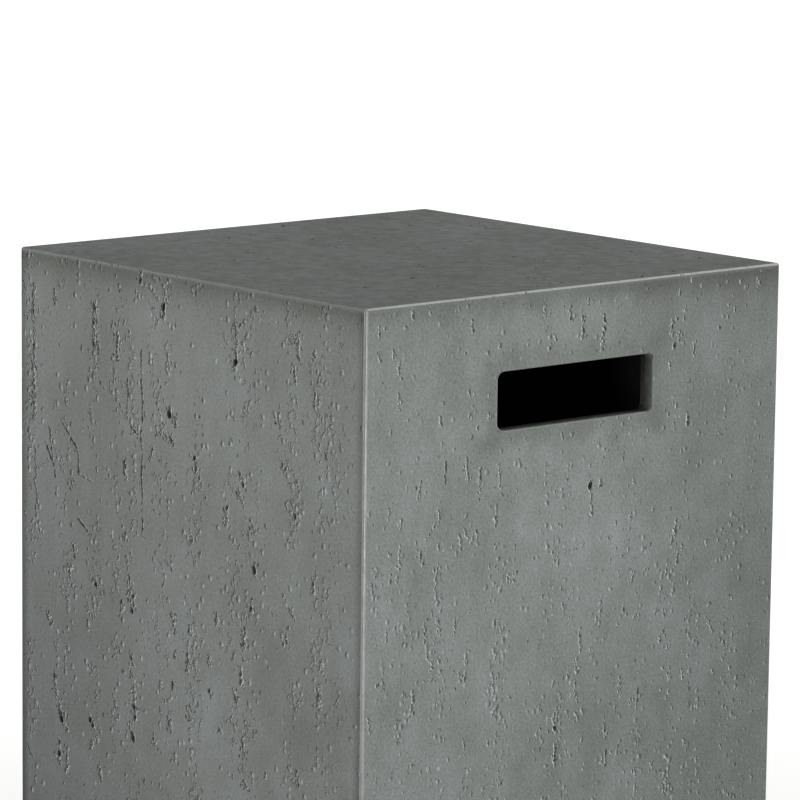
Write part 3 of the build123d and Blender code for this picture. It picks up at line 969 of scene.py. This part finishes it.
# %% [markdown]
# ## Steel, nylon and rubber
#
# The levelling feet are bought parts. Inserts and studs are cold-formed steel with a zinc plating,
# whose passivation gives a faint blue and yellow tint and cloudy gloss. The pads are moulded nylon
# with the fine grain of a spark-eroded mould, and the soles are rubber, dull and a little dusty. The
# CAD shapes of inserts, pads and soles are right, so only their material slots are filled.

# %% Steel, nylon and rubber
zinc = mottled("zinc_plated_steel", [(5, 3.0, 0.5), (0.8, 2.0, 0.5)], (
    (0.35, "#b4babf"), (0.65, "#c9c6b8")), (0.3, 0.7, 0.26, 0.42), (0.3, 0.05), {"Metallic": 1.0})
nylon = mottled("moulded_black_nylon", [(12, 3.0, 0.5), (0.6, 2.0, 0.5)], (
    (0.35, "#17191a"), (0.65, "#232526")), (0.3, 0.7, 0.42, 0.56), (0.5, 0.08), {})
rubber = mottled("moulded_rubber", [(4, 5.0, 0.7)], (
    (0.4, "#1b1b1b"), (0.75, "#3a3936")), 0.85, (0.4, 0.15), {"Specular IOR Level": 0.3})
feet = {"front_left": (-1, -1), "front_right": (1, -1), "rear_left": (-1, 1), "rear_right": (1, 1)}
for corner in feet:
    for piece, material in (("insert", zinc), ("pad", nylon), ("sole", rubber)):
        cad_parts[f"{corner}_{piece}"].material_slots[0].material = material
print("feet:", zinc.name, nylon.name, rubber.name)

# %% [markdown]
# ## Threaded studs: the core
#
# A stud is formed from one steel bar: a button that snaps into the pad, a neck, a hexagon to turn it
# by, and an M8 shank. The button is a cylinder with its rim bevelled, and the rest is extruded from
# its upper face step by step, as a lathe would leave it. The hexagon is cut with a ring whose edge is
# bevelled, which gives a nut's curved corners.

# %% Threaded studs: core
BUTTON_R, BUTTON_LOW, BUTTON_TOP, BUTTON_ROUND = 5.5, 5.2, 8.2, 0.5
NECK_R, NECK_TOP = 3.25, 12.0
ROOT_R, SHANK_TOP, TIP_R, TIP = 3.3, 39.2, 2.6, 40.0
COLLAR_LOW, COLLAR_TOP, COLLAR_CHAMFER = 11.2, 15.7, 0.6
# The ring starts below the hexagon's blank, and cuts it to its height.
BLANK_TOP, RING_LOW = 17, 10
stud = bar("stud", 48, BUTTON_R, BUTTON_LOW, BUTTON_TOP, zinc)
pick(stud, "edges", lambda middle, lie: abs(lie.z) < 0.1)
bevel(BUTTON_ROUND, 2)
pick(stud, "faces", lambda middle, lie: lie.z > 0.99)
bpy.ops.mesh.inset(thickness=(BUTTON_R - BUTTON_ROUND - NECK_R) * MM)
level, radius = BUTTON_TOP, NECK_R
for next_level, next_radius in (
        (NECK_TOP, NECK_R), (NECK_TOP, ROOT_R), (SHANK_TOP, ROOT_R), (TIP, TIP_R)):
    bpy.ops.mesh.extrude_region_move(TRANSFORM_OT_translate={"value": (0, 0, (next_level - level) * MM)})
    grow = next_radius / radius
    bpy.ops.transform.resize(value=(grow, grow, 1), center_override=(0, 0, next_level * MM))
    level, radius = next_level, next_radius
bpy.ops.object.mode_set(mode="OBJECT")
collar = bar("collar", 6, HEX_CORNER, COLLAR_LOW, BLANK_TOP, zinc)
bpy.ops.object.mode_set(mode="OBJECT")
ring = bar("ring", 64, HEX_CORNER, RING_LOW, COLLAR_TOP, zinc)
pick(ring, "edges", lambda middle, lie: abs(lie.z) < 0.1 and middle.z > COLLAR_TOP - 0.7)
bevel(COLLAR_CHAMFER, 1)
carve(collar, ring, "INTERSECT")
carve(stud, collar, "UNION")
print("stud without its thread:", len(stud.data.polygons), "faces")

# %% [markdown]
# ## Threaded studs: the thread
#
# The thread of M8 climbs 1.25 mm a turn. One tooth's profile, wide at the core and narrow at the
# crest, is swept by a Screw modifier, its two open ends are filled, and it is joined to the core. A
# bump could draw the rings too, but not their outline when the foot is screwed out. The finished stud
# is copied to each corner.

# %% Threaded studs: thread
PITCH, TURNS, TURN_STEPS = 1.25, 17, 24
TOOTH_AT, TOOTH_Z, TOOTH_DEEP, TOOTH_HIGH = 3.46, 16.9, 1.0, 1.06
CREST_R, CREST_SHARE = 3.96, 0.14
bpy.ops.object.select_all(action="DESELECT")
bpy.ops.mesh.primitive_plane_add(
    size=1, location=(TOOTH_AT * MM, 0, TOOTH_Z * MM), rotation=(math.pi / 2, 0, 0))
bpy.context.object.scale = (TOOTH_DEEP * MM, TOOTH_HIGH * MM, 1)
ridge = begin("ridge", zinc)
pick(ridge, "edges", lambda middle, lie: middle.x > TOOTH_AT + 0.1)
bpy.ops.transform.resize(value=(1, 1, CREST_SHARE), center_override=(CREST_R * MM, 0, TOOTH_Z * MM))
bpy.ops.mesh.select_all(action="SELECT")
bpy.ops.mesh.delete(type="ONLY_FACE")
bpy.ops.object.mode_set(mode="OBJECT")
climb = ridge.modifiers.new("climb", "SCREW")
climb.angle, climb.iterations, climb.screw_offset = 2 * math.pi, TURNS, PITCH * MM
climb.steps = climb.render_steps = TURN_STEPS
bpy.ops.object.modifier_apply(modifier=climb.name)
bpy.ops.object.mode_set(mode="EDIT")
bpy.ops.mesh.select_all(action="SELECT")
bpy.ops.mesh.fill_holes(sides=4)
bpy.ops.mesh.normals_make_consistent(inside=False)
carve(stud, ridge, "UNION")
select_only(stud)
bpy.ops.object.shade_smooth_by_angle(angle=SMOOTH_ANGLE)
print("threaded stud:", count_triangles(stud), "triangles")

# %% Threaded studs: one in each corner
for corner, (side_x, side_y) in feet.items():
    select_only(stud)
    bpy.ops.object.duplicate()
    bpy.ops.transform.translate(value=(side_x * FOOT * MM, side_y * FOOT * MM, 0))
    bpy.ops.object.transform_apply(location=True, rotation=True, scale=True)
    turned = bpy.context.object
    turned.name = f"{corner}_threaded_stud"
    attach(turned, f"{corner}_screw")
    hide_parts(f"{corner}_stud")
bpy.data.objects.remove(stud)

# %% [markdown]
# ## Floor, lamps and background
#
# The photo has a white studio background with no visible floor. Here the floor is pale and adds a
# glow for rays from the camera only, also by way of metal or glass, so it looks white but keeps the
# table's soft shadow. Under the table the glow stops, a painted shadow where no light gets. Two
# softboxes stand level with the table at its left and right, which draws a shadow and a bright rim on
# each void. A low strip in front of the near edge draws the bright line on it, because an upright
# edge mirrors a camera above it down to the floor.

# %% Floor
def seen_directly(tree):
    """One for a ray that the eye sees by, and none for light that falls on the table."""
    rays = add(tree, "LightPath").outputs
    seen = rays["Is Camera Ray"]
    for kind in ("Is Glossy Ray", "Is Transmission Ray"):
        seen = add(tree, "Math", (seen, rays[kind]), operation="MAXIMUM")
    return seen


bpy.ops.object.select_all(action="DESELECT")
bpy.ops.mesh.primitive_plane_add(size=60)
floor = bpy.context.object
floor.name = "studio_floor"
paper = bpy.data.materials.new("studio_paper")
paper.use_nodes = True
tree = paper.node_tree
tree.nodes.clear()
spot = add(tree, "TexCoord").outputs["Object"]
away = add(tree, "VectorMath", (spot,), operation="LENGTH").outputs["Value"]
glow = add(tree, "MapRange", {
    "Value": away, "From Min": 0.3, "From Max": 1.3, "To Min": 0.72, "To Max": 1.0})
xyz = add(tree, "SeparateXYZ", (spot,)).outputs
reach = [add(tree, "Math", (xyz[axis],), operation="ABSOLUTE") for axis in ("X", "Y")]
beyond = add(tree, "Math", (reach[0], reach[1]), operation="MAXIMUM")
# Painted shadow: the floor's glow fades out under the table.
painted_floor_shadow = add(tree, "MapRange", {
    "Value": beyond, "From Min": 0.16, "From Max": 0.225, "To Min": 0.06, "To Max": 1.0},
    interpolation_type="SMOOTHSTEP")
for part in (painted_floor_shadow, seen_directly(tree)):
    glow = add(tree, "Math", (glow, part), operation="MULTIPLY")
white = add(tree, "Emission", {"Strength": glow})
matt = add(tree, "BsdfDiffuse", {"Color": linear("#9a9a98")})
both = add(tree, "AddShader", (white, matt))
add(tree, "OutputMaterial", {"Surface": both})
floor.data.materials.append(paper)
print("floor", floor.name)

# %% Lamps
AIMED_AT = Vector((0, 0, 0.33))


def softbox(name, toward, distance, size, power, colour):
    """A lamp of a width and a height that shines on the middle of the table from a direction."""
    toward = Vector(toward).normalized()
    bpy.ops.object.light_add(type="AREA", location=AIMED_AT + toward * distance)
    lamp = bpy.context.object
    lamp.name = name
    lamp.rotation_euler = toward.to_track_quat("Z", "Y").to_euler()
    lamp.data.shape = "RECTANGLE"
    lamp.data.size, lamp.data.size_y = size
    lamp.data.energy = power
    lamp.data.color = colour


softbox("softbox_left", (-0.93, -0.36, 0.08), 9.0, (1.8, 1.8), 1095, (1.0, 1.0, 0.99))
softbox("softbox_right", (0.36, 0.93, 0.08), 9.0, (1.8, 1.8), 1260, (0.98, 1.0, 1.0))
softbox("strip_front", (0.88, -0.45, -0.11), 1.6, (0.15, 0.30), 5.0, (0.98, 1.0, 1.0))

# %% Background
world = bpy.data.worlds.new("studio")
bpy.context.scene.world = world
world.use_nodes = True
tree = world.node_tree
tree.nodes.clear()
fill = add(tree, "Background", {"Color": (1, 1, 0.92, 1), "Strength": 0.145})
paper_white = add(tree, "Background", {"Color": (1, 1, 1, 1), "Strength": 1.0})
mixed = add(tree, "MixShader", (seen_directly(tree), fill, paper_white))
add(tree, "OutputWorld", {"Surface": mixed})
print("background", world.name)
